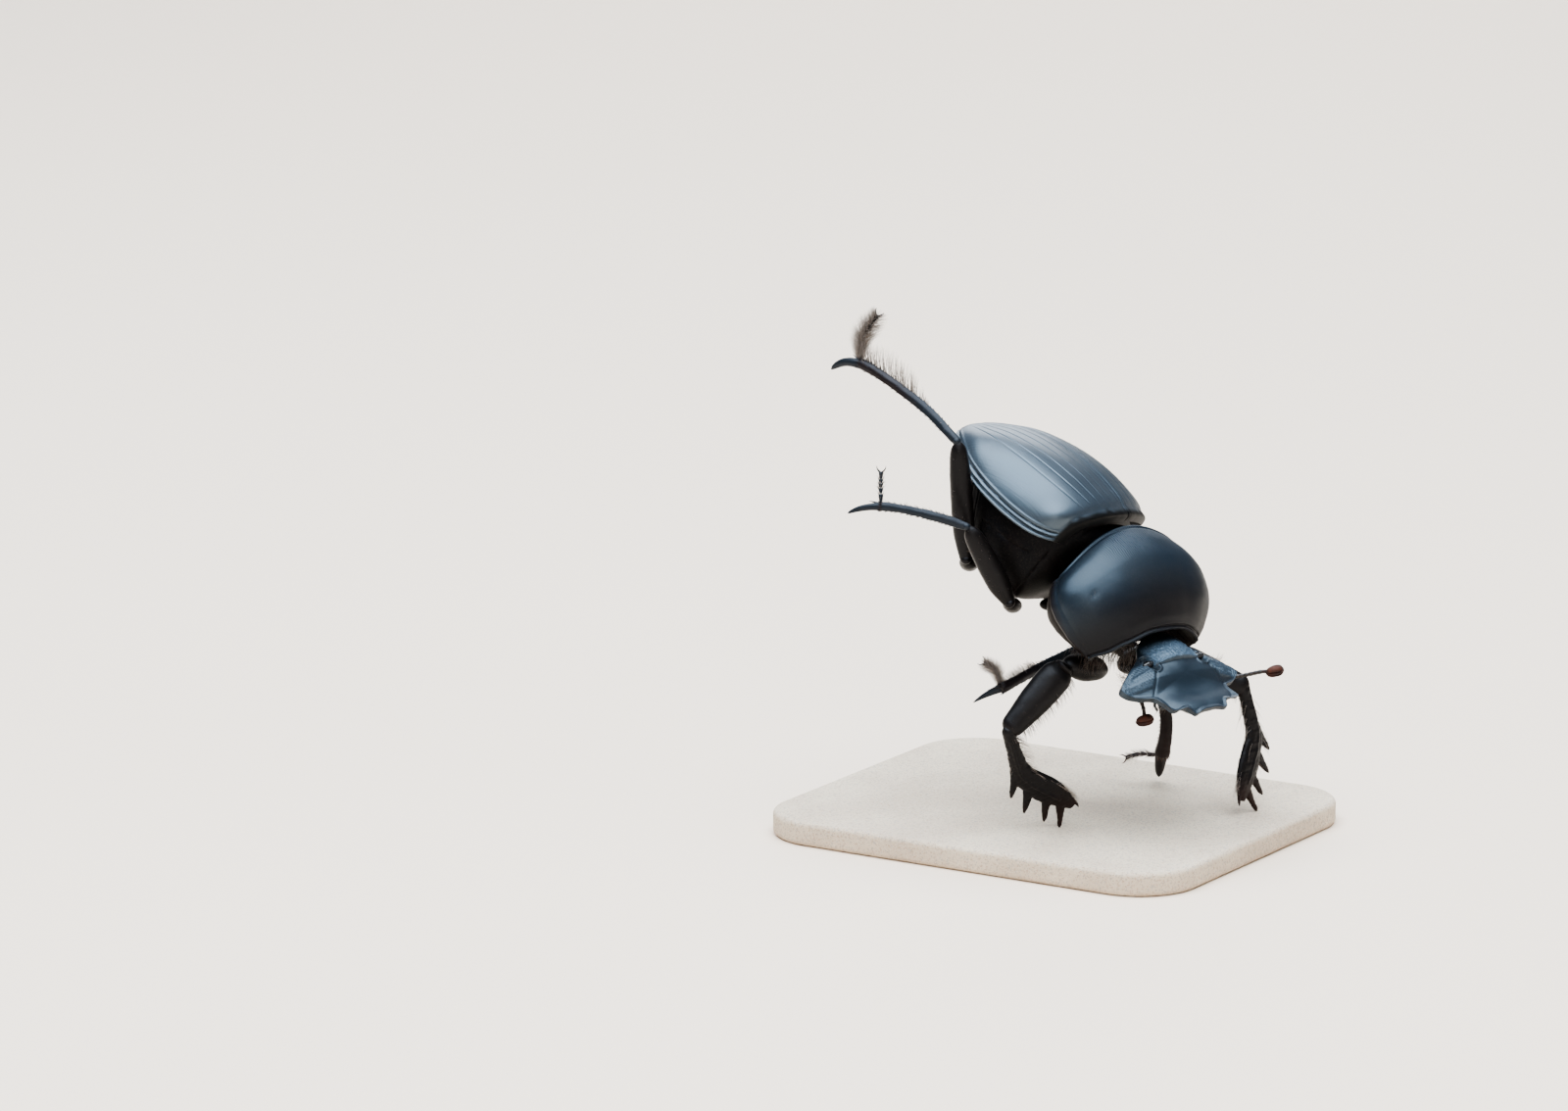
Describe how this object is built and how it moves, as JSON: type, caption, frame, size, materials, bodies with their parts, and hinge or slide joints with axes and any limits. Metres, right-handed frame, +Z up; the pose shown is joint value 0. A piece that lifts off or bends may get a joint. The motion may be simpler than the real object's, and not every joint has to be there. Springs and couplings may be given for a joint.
{
  "type": "dung beetle",
  "caption": "Life-size ball-rolling dung beetle standing head down on its toothed fore legs, hind legs raised behind, on a small display base.",
  "frame": {"origin": "middle of the base's underside", "axes": "+X the way the beetle faces, +Y to its left, +Z up"},
  "size_m": [0.044, 0.037, 0.0488],
  "materials": {
    "shell": "black satin chitin with a blue-grey sheen",
    "underside": "black satin chitin, duller than the back",
    "leg": "black-brown satin chitin with reddish hairs",
    "tarsus": "dark brown, hairy",
    "feeler": "dark red-brown",
    "feeler_club": "orange-brown, matt",
    "eye": "glossy dark brown",
    "base": "matt sandy beige"
  },
  "bodies": {
    "root": {"abdomen": "underside", "antenna_club_left": "feeler_club", "antenna_club_right": "feeler_club", "antenna_stem_left": "feeler", "antenna_stem_right": "feeler", "elytron_left": "shell", "elytron_right": "shell", "eye_left": "eye", "eye_right": "eye", "fore_coxa_left": "leg", "fore_coxa_right": "leg", "fore_femur_left": "leg", "fore_femur_right": "leg", "fore_tibia_left": "leg", "fore_tibia_right": "leg", "head": "shell", "hind_coxa_left": "leg", "hind_coxa_right": "leg", "hind_femur_left": "leg", "hind_femur_right": "leg", "hind_tarsus_left": "tarsus", "hind_tarsus_right": "tarsus", "hind_tibia_left": "leg", "hind_tibia_right": "leg", "mid_coxa_left": "leg", "mid_coxa_right": "leg", "mid_femur_left": "leg", "mid_femur_right": "leg", "mid_tarsus_left": "tarsus", "mid_tarsus_right": "tarsus", "mid_tibia_left": "leg", "mid_tibia_right": "leg", "prothorax": "shell", "pygidium": "underside", "rear_thorax": "underside", "stand_base": "base"}
  },
  "joints": []
}
